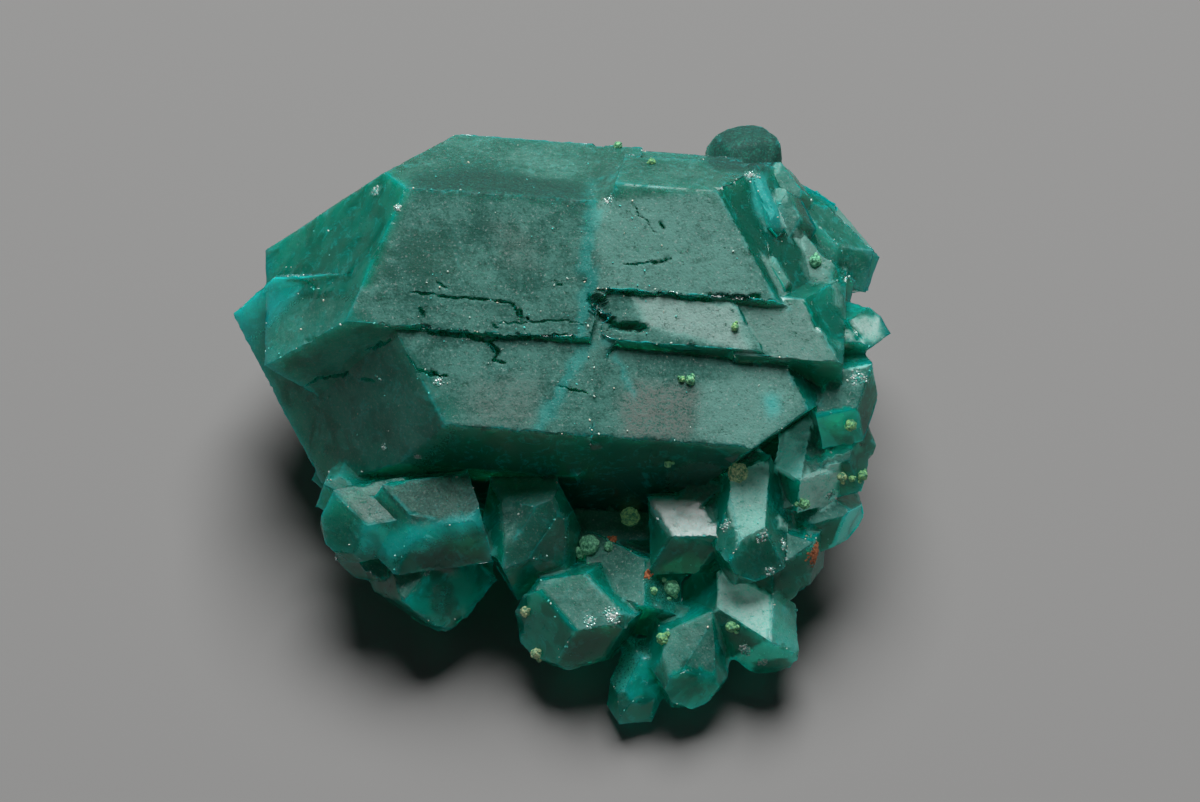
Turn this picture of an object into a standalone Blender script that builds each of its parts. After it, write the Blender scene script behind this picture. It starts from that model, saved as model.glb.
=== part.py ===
"""A hand specimen of dioptase: one large crystal lying down, with smaller ones grown round its lower front and its
right end. It is broken off its rock along a flat base.

Sizes are in millimetres until the finished mesh is made small, in metres. X runs along the large crystal, Y from the
front to the back, and Z up from the base.
"""

import math
from typing import NamedTuple

import bmesh
import bpy
from mathutils import Euler, Matrix, Vector

MM = 0.001

# Dioptase is trigonal. A six-sided prism ends in three steep faces, turned by half a prism face between the ends.
AXIAL_RATIO = 0.534
STEEP_TILT = math.atan(2 * AXIAL_RATIO / math.cos(math.radians(30)))
PRISM_TURNS = (0, 60, 120, 180, 240, 300)
HEAD_TURNS = (30, 150, 270)
TAIL_TURNS = (-30, 90, 210)

# A face this far out cuts nothing off.
NO_FACE = 20.0
NO_END = (NO_FACE,) * 3

# Every crystal is cut from a cube larger than any of them.
CUBE = 80.0
CUT_TOLERANCE = 1e-6

# The large crystal's long axis is almost level, and its first prism face looks up and forward.
LARGE_CENTRE = (1.25, 2.57, 5.75)
LARGE_TURN = (-3.5, -2.0, 24.0)

CRYSTAL_GREEN = (0.012, 0.19, 0.15, 1.0)
CRYSTAL_ROUGHNESS = 0.3


class Block(NamedTuple):
    """One of the parallel blocks of the large crystal, by the distances of its faces from the crystal's centre.

    Breaks are further planes as turn, tilt and distance. A block can lean a few degrees about its width.
    """

    prism: tuple
    head: tuple
    tail: tuple
    breaks: tuple = ()
    lean: float = 0.0


class Crystal(NamedTuple):
    """A smaller crystal: its centre, how it is turned, half its thickness and width, and how far its tips reach.

    The turn is the long axis's azimuth and elevation, and the spin round it, in degrees.
    """

    centre: tuple
    turn: tuple
    thick: float
    wide: float
    head: float
    tail: float
    breaks: tuple = ()


LARGE_BLOCKS = {
    "core": Block((5.0, 6.2, 4.6, 6.4, 6.0, 6.2), (7.2, 7.6, 6.9), (7.0, 7.2, 7.5), ((0, 0, 9.0),)),
    "upper_left": Block(
        (5.75, 6.5, 5.65, 6.3, 5.7, 3.7),
        NO_END,
        (NO_FACE, NO_FACE, 6.5),
        ((22, 136, 9.9), (84, 125.5, 8.97), (-90, 10.5, 0.25)),
    ),
    "upper_right": Block(
        (5.79, 7.12, 3.95, 3.0, 3.0, 2.1), (8.5, 8.2, NO_FACE), NO_END, ((90, 169.5, 0.4), (0, 0, 8.9))
    ),
    "middle_step": Block(
        (5.6, 4.2, 3.0, 3.0, 3.0, 3.62), (7.38, NO_FACE, NO_FACE), NO_END, ((0, 180, -0.35), (0, 0, 8.8))
    ),
    "middle_end": Block(
        (5.48, 3.75, 3.0, 3.0, 3.0, 3.7), (9.02, NO_FACE, NO_FACE), NO_END, ((0, 180, -5.3), (0, 0, 9.4))
    ),
    "lower_left": Block(
        (5.5, NO_FACE, NO_FACE, 6.3, 6.0, 6.62), NO_END, (8.6, 8.22, 8.6), ((90, 90, 1.0), (-78.5, 90, 6.32), (0, 0, 0.4))
    ),
    "lower_right": Block(
        (5.3, NO_FACE, NO_FACE, 6.3, 6.0, 6.5), (7.5, 7.3, 7.34), NO_END, ((90, 90, 1.0), (0, 180, 1.5), (0, 0, 8.8)), 2.0
    ),
    "back_terrace": Block((4.5, 6.1, 6.0, 6.0, 4.0, 3.0), (6.0, 6.3, NO_FACE), NO_END, ((0, 180, 4.6), (0, 0, 5.5))),
}

SMALL_CRYSTALS = {
    # In front of the large crystal, from the left.
    "front_shelf": Crystal((-4.4, -4.95, 4.75), (9, -1, 4), 1.75, 1.75, 4.6, 3.2, ((90, 9, 1.5),)),
    "front_shelf_end": Crystal((-6.4, -4.8, 4.7), (12, 0, 4), 1.4, 1.45, 3.0, 2.75),
    "front_knob": Crystal((-7.9, -3.5, 4.4), (30, 5, 20), 0.9, 0.9, 1.3, 1.3),
    "smooth": Crystal((-4.75, -5.8, 2.6), (-70, -12, 12), 1.95, 2.05, 2.9, 2.75),
    "smooth_side": Crystal((-6.5, -5.1, 3.1), (-40, -10, 30), 1.45, 1.45, 2.1, 2.1),
    "many_faced": Crystal((-0.95, -5.15, 4.3), (78, 30, 12), 1.6, 1.65, 2.8, 2.7),
    "low_wide": Crystal((1.0, -7.65, 2.6), (8, 6, 15), 1.85, 1.85, 3.0, 3.0),
    "low_wide_back": Crystal((2.2, -6.4, 2.6), (-32, 6, 5), 1.4, 1.5, 3.0, 2.6),
    "mirror": Crystal((4.75, -5.15, 4.1), (0, 3, 2), 1.5, 1.5, 2.6, 2.6, ((0, 180, 1.35),)),
    "mirror_top": Crystal((5.3, -4.1, 5.0), (40, 20, 10), 0.8, 0.8, 1.5, 1.4),
    "low_front": Crystal((4.8, -9.3, 1.9), (82, 16, 0), 1.4, 1.45, 2.7, 2.2),
    "low_front_left": Crystal((3.0, -10.0, 1.2), (65, 12, 25), 0.95, 1.0, 2.2, 1.7),
    # Along the large crystal's lower right.
    "tall_plate": Crystal((7.05, -5.0, 5.0), (86, 6, 0), 1.45, 1.35, 3.0, 2.9),
    "roof": Crystal((9.35, -2.4, 5.6), (80, 6, 28), 1.15, 1.15, 2.6, 2.7),
    "roof_foot": Crystal((8.6, -3.9, 4.6), (60, 10, 0), 0.9, 0.85, 1.8, 1.8),
    "right_block": Crystal((9.9, -4.1, 3.7), (12, 10, 5), 1.25, 1.3, 1.9, 2.3),
    "sparkling": Crystal((8.1, -6.0, 3.4), (35, 12, 0), 1.4, 1.4, 2.5, 2.4),
    "low_right": Crystal((7.0, -7.8, 2.3), (-34, -4, 0), 1.5, 1.5, 2.7, 2.9),
    # Up the right end, to the dome at the back.
    "end_prism": Crystal((10.75, 1.05, 8.3), (-3, 0, 30), 1.3, 1.02, 1.7, 3.6),
    "end_lump": Crystal((10.5, -1.2, 7.4), (70, 15, 10), 1.2, 1.2, 2.2, 2.2),
    "end_lump_low": Crystal((10.45, -2.4, 5.7), (70, 20, 0), 1.2, 1.2, 2.2, 2.2),
    "end_slab": Crystal((9.4, 3.2, 8.9), (-46, -8, 0), 1.1, 1.0, 2.1, 2.2),
    "end_dark": Crystal((9.75, 4.7, 8.4), (-46, -8, 30), 1.2, 1.2, 2.6, 2.5),
    "end_outer": Crystal((10.2, 5.6, 7.0), (-50, -12, 0), 1.2, 1.15, 2.4, 2.6),
    "end_bright": Crystal((7.6, 5.0, 11.1), (-70, -3, 0), 0.6, 0.45, 1.7, 1.7),
    "end_pale": Crystal((8.5, 4.9, 10.1), (-60, -20, 10), 0.8, 0.75, 1.5, 1.4),
    "end_pale_back": Crystal((8.4, 6.1, 9.9), (-50, -20, 0), 0.75, 0.75, 1.5, 1.5),
    "end_sliver": Crystal((8.15, 1.95, 10.9), (-57, -20, 5), 0.32, 0.3, 0.85, 0.85),
    "dome": Crystal((7.05, 9.1, 6.5), (75, 10, 15), 1.5, 1.5, 2.3, 2.4),
    # Behind and below.
    "back_left": Crystal((-6.2, 7.0, 2.6), (20, 5, 10), 1.7, 1.7, 3.0, 3.0),
    "back_middle": Crystal((-1.6, 8.4, 2.4), (-25, 8, 25), 1.6, 1.6, 3.0, 2.8),
    "back_right": Crystal((3.4, 8.9, 3.2), (50, 12, 5), 1.5, 1.5, 2.8, 2.6),
    "back_corner": Crystal((7.6, 7.6, 2.7), (-15, 6, 20), 1.7, 1.7, 3.0, 2.8),
    "back_small": Crystal((0.9, 8.3, 4.9), (15, 20, 0), 1.0, 1.0, 1.9, 1.9),
    "left_low": Crystal((-8.0, 2.6, 2.4), (80, 8, 15), 1.6, 1.6, 2.9, 2.8),
    "left_low_front": Crystal((-6.9, -1.1, 2.3), (15, 6, 5), 1.5, 1.5, 2.5, 2.5),
    "right_low": Crystal((9.0, 3.8, 3.4), (60, 5, 0), 2.1, 2.1, 3.6, 3.4),
    "right_low_front": Crystal((8.7, -0.9, 2.4), (10, 5, 25), 1.8, 1.8, 2.8, 2.9),
    "under_front": Crystal((1.8, -4.0, 2.2), (5, 0, 10), 1.8, 1.8, 3.6, 3.6),
}


def facing(turn, tilt):
    """A face's outward direction in crystal space: tilt is from the long axis, turn is round it from the first face."""
    turn, tilt = math.radians(turn), math.radians(tilt)
    side = math.sin(tilt)
    return Vector((math.cos(tilt), side * math.sin(turn), side * math.cos(turn)))


def lattice(azimuth, elevation, spin):
    """Turns crystal space, with the long axis on X and the first prism face up Z, into the specimen's space."""
    return Euler((math.radians(spin), -math.radians(elevation), math.radians(azimuth)), "XYZ").to_matrix()


def crystal_faces(prism, head, tail, breaks):
    """(direction, distance) of the twelve faces, which the distances follow in the order of the turns, and breaks."""
    steep = math.degrees(STEEP_TILT)
    faces = [(facing(turn, 90), distance) for turn, distance in zip(PRISM_TURNS, prism)]
    faces += [(facing(turn, steep), distance) for turn, distance in zip(HEAD_TURNS, head)]
    faces += [(facing(turn, 180 - steep), distance) for turn, distance in zip(TAIL_TURNS, tail)]
    faces += [(facing(turn, tilt), distance) for turn, tilt, distance in breaks]
    return faces


def cut_crystal(faces, centre, turn):
    """The closed mesh that lies inside every face, turned and moved to its place."""
    bm = bmesh.new()
    bmesh.ops.create_cube(bm, size=CUBE)
    for direction, distance in faces:
        cut = bmesh.ops.bisect_plane(
            bm,
            geom=bm.verts[:] + bm.edges[:] + bm.faces[:],
            dist=CUT_TOLERANCE,
            plane_co=direction * distance,
            plane_no=direction,
            clear_outer=True,
        )
        rim = [item for item in cut["geom_cut"] if isinstance(item, bmesh.types.BMEdge)]
        if rim:
            bmesh.ops.edgeloop_fill(bm, edges=rim)
    bmesh.ops.recalc_face_normals(bm, faces=bm.faces)
    bmesh.ops.transform(bm, matrix=Matrix.Translation(centre) @ turn.to_4x4(), verts=bm.verts)
    mesh = bpy.data.meshes.new("crystal")
    bm.to_mesh(mesh)
    bm.free()
    return mesh


def large_crystal():
    """The large crystal's parallel blocks."""
    meshes = []
    for block in LARGE_BLOCKS.values():
        turn = lattice(*LARGE_TURN) @ Matrix.Rotation(math.radians(block.lean), 3, "Y")
        faces = crystal_faces(block.prism, block.head, block.tail, block.breaks)
        meshes.append(cut_crystal(faces, LARGE_CENTRE, turn))
    return meshes


def small_crystals():
    """The smaller crystals, each with three equal steep faces at either tip."""
    tip_share = math.cos(STEEP_TILT)
    meshes = []
    for crystal in SMALL_CRYSTALS.values():
        prism = (crystal.thick, crystal.wide, crystal.wide) * 2
        head = (crystal.head * tip_share,) * 3
        tail = (crystal.tail * tip_share,) * 3
        faces = crystal_faces(prism, head, tail, crystal.breaks)
        meshes.append(cut_crystal(faces, crystal.centre, lattice(*crystal.turn)))
    return meshes


def ground():
    """A cube whose top is the plane of the base."""
    bm = bmesh.new()
    bmesh.ops.create_cube(bm, size=CUBE, matrix=Matrix.Translation((0, 0, -CUBE / 2)))
    mesh = bpy.data.meshes.new("ground")
    bm.to_mesh(mesh)
    bm.free()
    return mesh


def add_object(name, mesh):
    added = bpy.data.objects.new(name, mesh)
    bpy.context.scene.collection.objects.link(added)
    return added


def combined(first, second, operation):
    """The exact Boolean of two meshes, as a new mesh."""
    kept = add_object("kept", first)
    other = add_object("other", second)
    modifier = kept.modifiers.new("combine", "BOOLEAN")
    modifier.operation = operation
    modifier.solver = "EXACT"
    modifier.object = other
    graph = bpy.context.evaluated_depsgraph_get()
    result = bpy.data.meshes.new_from_object(kept.evaluated_get(graph))
    bpy.data.objects.remove(kept)
    bpy.data.objects.remove(other)
    return result


def fill_pockets(mesh):
    """Fills any pocket closed in between the crystals, by keeping only the largest connected surface."""
    bm = bmesh.new()
    bm.from_mesh(mesh)
    unseen = set(bm.verts)
    surfaces = []
    while unseen:
        reached = [unseen.pop()]
        surface = set(reached)
        while reached:
            for edge in reached.pop().link_edges:
                new = [vertex for vertex in edge.verts if vertex not in surface]
                surface.update(new)
                reached += new
        unseen -= surface
        surfaces.append(surface)
    outside = max(surfaces, key=len)
    bmesh.ops.delete(bm, geom=[vertex for vertex in bm.verts if vertex not in outside], context="VERTS")
    bm.to_mesh(mesh)
    bm.free()


def centre_on_base(mesh):
    """Moves the mesh so that the origin is under the middle of its box, on the base."""
    points = [vertex.co for vertex in mesh.vertices]
    middle = [(min(p[i] for p in points) + max(p[i] for p in points)) / 2 for i in range(2)]
    mesh.transform(Matrix.Translation((-middle[0], -middle[1], 0)))


def crystal_material():
    material = bpy.data.materials.new("dioptase_green")
    material.use_nodes = True
    shader = material.node_tree.nodes["Principled BSDF"]
    shader.inputs["Base Color"].default_value = CRYSTAL_GREEN
    shader.inputs["Roughness"].default_value = CRYSTAL_ROUGHNESS
    shader.inputs["Metallic"].default_value = 0.0
    return material


def main():
    for old in list(bpy.data.objects):
        bpy.data.objects.remove(old)
    specimen, *others = large_crystal() + small_crystals()
    for other in others:
        specimen = combined(specimen, other, "UNION")
    specimen = combined(specimen, ground(), "DIFFERENCE")
    fill_pockets(specimen)
    centre_on_base(specimen)
    specimen.transform(Matrix.Scale(MM, 4))
    specimen.materials.clear()
    specimen.materials.append(crystal_material())
    add_object("dioptase_crystals", specimen)


if __name__ == "__main__":
    main()
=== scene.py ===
"""Looks of the dioptase specimen: the crystals with their relief, cracks, chips and dusty bloom, and the
small grains of other minerals that stick to them.

Lengths are in millimetres until a mesh is finished, and pixels are those of the photograph, 1200 by 802. The
lamp, the floor and the camera's nearest distance are in metres.
"""

import math
from typing import NamedTuple

import bmesh
import bpy
import numpy as np
from mathutils import Matrix, Quaternion, Vector, noise
from mathutils.bvhtree import BVHTree


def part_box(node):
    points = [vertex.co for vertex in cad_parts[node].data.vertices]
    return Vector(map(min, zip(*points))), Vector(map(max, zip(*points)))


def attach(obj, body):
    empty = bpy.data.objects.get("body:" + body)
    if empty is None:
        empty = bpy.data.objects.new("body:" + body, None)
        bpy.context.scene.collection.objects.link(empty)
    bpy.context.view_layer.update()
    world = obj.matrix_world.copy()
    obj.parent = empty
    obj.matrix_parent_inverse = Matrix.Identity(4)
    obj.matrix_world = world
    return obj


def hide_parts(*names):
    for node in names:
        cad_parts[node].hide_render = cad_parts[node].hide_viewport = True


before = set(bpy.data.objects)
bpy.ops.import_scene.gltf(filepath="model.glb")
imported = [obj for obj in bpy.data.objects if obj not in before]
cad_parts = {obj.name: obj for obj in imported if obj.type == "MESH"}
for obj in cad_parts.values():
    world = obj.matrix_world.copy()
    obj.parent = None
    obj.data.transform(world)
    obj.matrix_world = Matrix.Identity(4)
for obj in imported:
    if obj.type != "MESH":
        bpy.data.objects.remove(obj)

MM = 0.001
NODE = "dioptase_crystals"
BODY = "root"
SEED = 11
TINY = 1e-12

# The camera, as in the photograph, and the way from the specimen to it.
PHOTO_WIDTH = 1200
PHOTO_HEIGHT = 802
PIXEL = 0.0373
CAMERA_TARGET = (1.49, 0.11, 5.0)
CAMERA_ELEVATION = 60.0
CAMERA_DISTANCE = 225.0
SENSOR_WIDTH = 36.0
NEAREST_SEEN = 0.01
TO_CAMERA = (0.0, -0.5, 0.866)

# The window light, the even light of the room, and the floor.
WINDOW_PLACE = (0.015, 0.22, 0.37)
WINDOW_SIZE = 0.28
WINDOW_POWER = 3.0
SKY_COLOUR = (0.9, 0.95, 1.0, 1.0)
SKY_STRENGTH = 0.038
FLOOR_GREY = (0.215, 0.213, 0.21, 1.0)
FLOOR_REACH = 1.2

# The way the large crystal's top face looks, and the way of the surfaces that carry the most dust.
TOP_FACE = (0.007, -0.408, 0.913)
DUST_FROM = (0.0, -0.25, 0.968)

# How far a trace wanders from its line, and over how many pixels.
WANDER = 2.2
WANDER_LENGTH = 7.0

# How finely the surface is divided, as the longest edge that each kind of place may have, and how far up a
# face looks that counts as a top one or as a seen one.
EDGE_TOP = 0.25
EDGE_SEEN = 0.48
EDGE_HIDDEN = 1.2
EDGE_BASE = 1.8
EDGE_RIDGE = 0.21
EDGE_CRACK = 0.085
TOP_UPWARD = 0.9
SEEN_UPWARD = -0.2

# How near to a ridge or a crack the edges are short, how often edges may be divided, and how far a division
# spreads each time to the triangles beside it.
RIDGE_REACH = 0.03
CRACK_REACH = 0.17
MOST_DIVISIONS = 14
SPREADING_ROUNDS = 4

# Space is counted in small cubes, to find what lies near a ridge or a crack, and distances are measured so
# many at a time.
CELL = 0.2
CELLS_ACROSS = 1024
GAPS_AT_ONCE = 4_000_000

# How near two points of the solid count as one, how flat an edge or a corner counts as none, and how far up
# from the floor the flat base reaches.
WELD = 1e-4
SAME_PLANE = math.radians(0.05)
FLAT_ANGLE = math.radians(1)
BASE_SKIN = 0.01

# How many degrees the surface turns at an edge that counts as sharp, and at one that is shaded as sharp.
SHARP_RIDGE = 20.0
SHADING_ANGLE = 24.0

# How steeply things fade towards their reach.
FADE = 1.6
CRACK_FADE = 1.4
SPOT_FADE = 1.5
ROUNDED_FADE = 2.0


class Lumps(NamedTuple):
    """Smooth noise: the size of its lumps, how many octaves it has, and where in the noise it starts."""

    size: float
    octaves: int
    start: float


class Trace(NamedTuple):
    """A line on the surface under these pixels, its half width, and how deep it is cut."""

    pixels: tuple
    width: float
    depth: float = 0.0


class Spot(NamedTuple):
    """A round area of the surface under a pixel, and its radius."""

    x: float
    y: float
    radius: float


class Zone(NamedTuple):
    """The surface inside an outline of pixels and above a height, how soft its border is, and its finish."""

    outline: tuple
    lowest: float
    softness: int
    looks: dict


class Face(NamedTuple):
    """The crystal face under a pixel, as far as it reaches from there, and its finish."""

    x: float
    y: float
    reach: float
    looks: dict


def spots(*places):
    """Round areas, each from its pixel and its radius."""
    return [Spot(*place) for place in places]


# Cracks of the large crystal.
CRACKS = (
    Trace(
        ((417, 330), (435, 333), (462, 336), (489, 341), (510, 336), (528, 339), (552, 336), (567, 334)),
        0.08, 0.26,
    ),
    Trace(((489, 341), (498, 351), (495, 360), (504, 363)), 0.09, 0.25),
    Trace(((411, 292), (432, 294), (462, 298), (483, 299), (492, 300), (513, 303)), 0.06, 0.18),
    Trace(((513, 303), (516, 312), (519, 319), (523, 321)), 0.08, 0.22),
    Trace(((420, 308), (423, 317)), 0.12, 0.25),
    Trace(((492, 322), (497, 327)), 0.08, 0.15),
    Trace(((497, 324), (530, 322), (567, 320), (582, 325)), 0.05, 0.08),
    Trace(((600, 291), (630, 294), (660, 295), (687, 298), (711, 301)), 0.07, 0.22),
    Trace(((590, 296), (598, 312), (612, 324), (646, 328)), 0.24, 0.34),
    Trace(((710, 295), (730, 298), (758, 297)), 0.17, 0.30),
    Trace(((650, 344), (678, 352), (700, 352)), 0.10, 0.16),
    Trace(((655, 262), (668, 260)), 0.14, 0.22),
    Trace(((660, 222), (664, 228)), 0.12, 0.2),
    Trace(((437, 282), (447, 288)), 0.09, 0.12),
    Trace(((520, 311), (524, 319)), 0.13, 0.24),
    Trace(((489, 343), (494, 352)), 0.14, 0.26),
    Trace(((432, 371), (440, 377)), 0.16, 0.26),
    Trace(((624, 264), (640, 264), (650, 262), (663, 261), (672, 259)), 0.045, 0.10),
    Trace(((632, 203), (640, 216), (648, 222), (655, 233)), 0.04, 0.08),
    Trace(((558, 385), (576, 390), (588, 394)), 0.05, 0.12),
    Trace(((304, 388), (321, 379), (338, 378), (348, 374)), 0.07, 0.18),
    Trace(((355, 377), (367, 380), (376, 381)), 0.06, 0.15),
    Trace(((367, 351), (380, 346), (388, 341), (394, 336)), 0.07, 0.18),
    Trace(((406, 356), (418, 370), (432, 374), (447, 376)), 0.10, 0.22),
    Trace(((554, 281), (562, 285)), 0.08, 0.10),
    Trace(((285, 275), (304, 281), (320, 288), (327, 295)), 0.04, 0.06),
)

# How wide a crack may get and how much of it is left at its ends, as shares of its own width, over how far
# it narrows there, and how its width changes.
WIDEST_CRACK = 1.6
CRACK_END = 0.35
CRACK_TAPER = 0.7
CRACK_WIDTHS = Lumps(0.34, 3, 5.0)

# Bands where an old break has healed with clear, brighter crystal.
HEALED = (
    Trace(
        ((592, 200), (587, 265), (592, 285), (582, 320), (582, 355), (563, 384), (545, 420), (541, 430)),
        0.42,
    ),
    Trace(((600, 330), (620, 365), (634, 395)), 0.16),
)
HEALED_WIDTHS = Lumps(0.6, 3, 23.0)
HEALED_SHINE = 0.45
THINNEST_BAND = 0.02

# Finishes of parts of the specimen: how dusty, pale, grey and turquoise they are, how much painted glow they
# carry, and how much they shine. Pale is partly real pale dust and partly painted light on facets in shade;
# above 1 it whitens as painted highlight, and below 0 it darkens as painted shade. Turquoise is partly the
# crystal's own colour and partly painted light where light would shine through thin crystal.
CLEAR = {"dust": 0.0, "glow": 0.3}
THIN_EDGE = {"turquoise": 0.75, "dust": 0.0, "glow": 0.5}
SHELF_RIM = {"turquoise": 0.7, "glow": 0.6, "dust": 0.2}
DOME = {"dust": 0.9, "pale": -1.8}
DRUSE_GROUND = {"dust": 0.7, "pale": 0.5}
ZONES = (
    # Painted glow lifts this side face out of shade.
    Zone(
        (
            (262, 330), (300, 298), (340, 298), (395, 330), (440, 385), (462, 415), (400, 475), (320, 475),
            (225, 340),
        ),
        4.0, 6, {"dust": 0.36, "glow": 0.28},
    ),
    Zone(((380, 190), (450, 130), (590, 135), (600, 203)), 8.0, 3, {"dust": 0.5, "pale": -0.2}),
    Zone(((590, 135), (720, 140), (720, 190), (600, 203)), 8.0, 3, {"dust": 0.4, "pale": -0.1}),
    Zone(((400, 228), (459, 228), (466, 276), (430, 284), (405, 262)), 8.0, 9, {"dust": 0.6, "pale": -0.5}),
    Zone(((489, 215), (528, 230), (545, 264), (504, 268)), 8.0, 9, {"grey": 0.35}),
    Zone(((465, 378), (545, 378), (530, 428), (475, 428)), 8.0, 7, {"grey": 0.5, "pale": 0.1}),
    Zone(((592, 203), (718, 192), (765, 292), (700, 300), (600, 292)), 8.0, 7, {"pale": 0.34}),
    Zone(((630, 380), (699, 386), (692, 440), (628, 440), (620, 402)), 8.0, 5, {"grey": 1.0, "pale": 0.1}),
    Zone(((699, 386), (780, 362), (804, 405), (753, 448), (692, 440)), 8.0, 5, {"pale": 0.5}),
    # Partly white dust and crumbs, partly painted light on a brightly lit facet.
    Zone(((631, 296), (735, 304), (756, 356), (645, 326)), 8.0, 2, {"pale": 1.35, "dust": 1.0}),
    Zone(
        ((744, 312), (806, 298), (832, 360), (778, 362), (753, 335)),
        7.0, 2, {"pale": 0.7, "dust": 0.9, "grey": 0.3},
    ),
    # Painted highlight: a white bar where the end prism's top reflects the window.
    Zone(((818, 318), (880, 315), (886, 340), (836, 343)), 2.0, 1, {"pale": 1.5, "dust": 1.0, "glow": 0.8}),
    Zone(
        ((355, 520), (400, 530), (480, 510), (484, 525), (440, 545), (390, 560), (362, 550)),
        2.0, 2, SHELF_RIM,
    ),
    Zone(
        (
            (258, 262), (275, 236), (330, 205), (395, 165), (414, 190), (402, 215), (387, 250), (372, 288),
            (340, 292), (268, 288),
        ),
        6.0, 4, CLEAR,
    ),
    Zone(
        ((220, 318), (240, 300), (272, 280), (302, 284), (290, 300), (262, 330), (240, 350)),
        4.0, 5, THIN_EDGE,
    ),
    # Painted shade: a dark band just above the top edge, where a small step would be shaded.
    Zone(
        ((405, 176), (480, 165), (588, 184), (588, 205), (480, 196), (408, 190)),
        8.0, 6, {"pale": -1.9, "dust": 0.75},
    ),
    Zone(((492, 141), (570, 152), (572, 176), (504, 166)), 8.0, 9, {"pale": 0.15, "dust": 0.55}),
    Zone(
        ((763, 395), (775, 392), (781, 408), (774, 419), (766, 412)),
        8.0, 3, {"turquoise": 1.0, "pale": 0.7},
    ),
    Zone(
        ((705, 166), (710, 140), (730, 120), (760, 116), (783, 128), (789, 160), (770, 172), (730, 170)),
        0.0, 2, DOME,
    ),
)
# Many of these faces get glow, which is painted glow, and pale near or above 1, which is painted light,
# lifting facets that lie in shade.
FACES = (
    Face(793, 437, 1.8, {"dust": 0.8, "pale": 1.0, "glow": 1.0, "turquoise": 0.3}),
    Face(825, 445, 1.8, {"dust": 0.0, "glow": 0.9}),
    Face(742, 500, 1.8, {"dust": 0.9, "pale": 1.0, "glow": 0.6}),
    Face(820, 505, 1.8, {"dust": 0.85, "pale": 1.3, "glow": 1.2}),
    Face(848, 525, 1.6, {"dust": 0.0, "glow": 1.0, "turquoise": 0.5}),
    Face(730, 605, 2.6, {"dust": 0.85, "pale": 1.3, "glow": 1.2}),
    Face(770, 660, 2.4, {"dust": 0.05, "glow": 0.9}),
    Face(785, 620, 1.8, {"dust": 0.35, "pale": 0.3, "glow": 0.4}),
    Face(690, 640, 1.8, {"dust": 0.55}),
    Face(675, 680, 2.0, {"dust": 0.0, "glow": 0.42}),
    Face(630, 690, 2.0, {"dust": 0.0, "glow": 0.2}),
    Face(580, 608, 2.2, {"dust": 0.6, "pale": 0.1}),
    Face(560, 650, 2.4, {"dust": 0.0, "glow": 0.28}),
    Face(675, 520, 1.8, {"dust": 0.3, "grey": 0.6, "gloss": 0.25}),
    Face(697, 483, 1.2, {"dust": 0.2, "grey": 0.5, "gloss": 0.25}),
    Face(525, 488, 1.4, {"dust": 0.5, "pale": 0.0}),
    Face(525, 535, 2.0, {"dust": 0.5, "pale": -0.8}),
    Face(562, 537, 1.0, {"dust": 0.2, "gloss": 0.3}),
    # Painted shade: the shelf's top and end are darkened where the large crystal shades them.
    Face(435, 500, 2.6, {"dust": 0.75, "pale": -1.6}),
    Face(355, 510, 1.6, {"dust": 0.5, "pale": -1.2}),
    Face(430, 590, 2.6, {"dust": 0.0, "glow": 0.35}),
    # Painted highlight: the end prism's top, whitened where it reflects the window.
    Face(855, 330, 1.4, {"dust": 0.9, "pale": 1.4, "glow": 0.8}),
    Face(835, 305, 1.6, {"dust": 0.0, "glow": 0.25}),
    Face(820, 272, 1.6, {"dust": 0.6, "pale": 0.2}),
    Face(825, 235, 1.6, {"dust": 0.45, "pale": -0.6, "glow": 0.15}),
    Face(845, 215, 1.6, {"dust": 0.7, "pale": 0.6}),
    Face(786, 223, 1.4, {"dust": 0.9, "pale": 0.9}),
    Face(783, 190, 1.4, {"dust": 0.9, "pale": 0.8}),
    Face(778, 277, 1.0, {"dust": 0.5, "pale": 1.0, "gloss": 0.3}),
)
# Painted light: a bright turquoise side with painted glow, where light would shine through a thin edge.
BRIGHT_SIDE = Zone(
    ((750, 176), (765, 172), (780, 205), (782, 230), (768, 226), (756, 205)),
    2.0,
    1,
    {"dust": 0.8, "pale": -0.8, "glow": 0.2, "turquoise": 0.8},
)

# A zone takes what faces the camera by at least this much. A face takes what lies this near to its plane and
# faces the same way by at least this much.
SEEN_FACING = 0.05
FACE_DEPTH = 0.12
FACE_TURN = 0.6
LEVEL_SIDE = 1e-9

# How much painted highlight, in turquoise, lies along the ridges, and where.
RIDGE_SHINE = 0.5
RIDGE_LIGHTS = Lumps(0.9, 3, 29.0)

# How thin crystal is told by rays: how far they lean, how far in they start, and how deep light gets.
RAY_TILT = math.radians(50)
RAY_START = 0.02
LIGHT_DEPTH = 1.6

# Corners of the small crystals that end in a further face, and how deep it cuts them.
CORNERS = spots(
    (508, 625, 0.45), (550, 672, 0.40), (630, 622, 0.30), (535, 582, 0.28), (566, 497, 0.40),
    (517, 599, 0.40), (559, 549, 0.35), (508, 507, 0.30), (313, 530, 0.40), (348, 564, 0.35),
    (366, 524, 0.22), (424, 525, 0.25), (484, 518, 0.30), (448, 625, 0.45), (714, 538, 0.30),
    (699, 572, 0.35), (650, 496, 0.25), (742, 587, 0.35), (784, 566, 0.30), (727, 545, 0.22),
    (660, 680, 0.30), (707, 660, 0.30), (679, 716, 0.40), (724, 693, 0.35), (621, 701, 0.28),
    (653, 697, 0.25), (805, 608, 0.35), (764, 674, 0.45), (804, 631, 0.35), (821, 410, 0.28),
    (863, 440, 0.30), (869, 502, 0.35), (854, 538, 0.30), (872, 303, 0.25), (884, 258, 0.35),
    (758, 122, 0.35), (784, 141, 0.35), (712, 131, 0.35),
)
CORNER_REACH = 2.6

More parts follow.
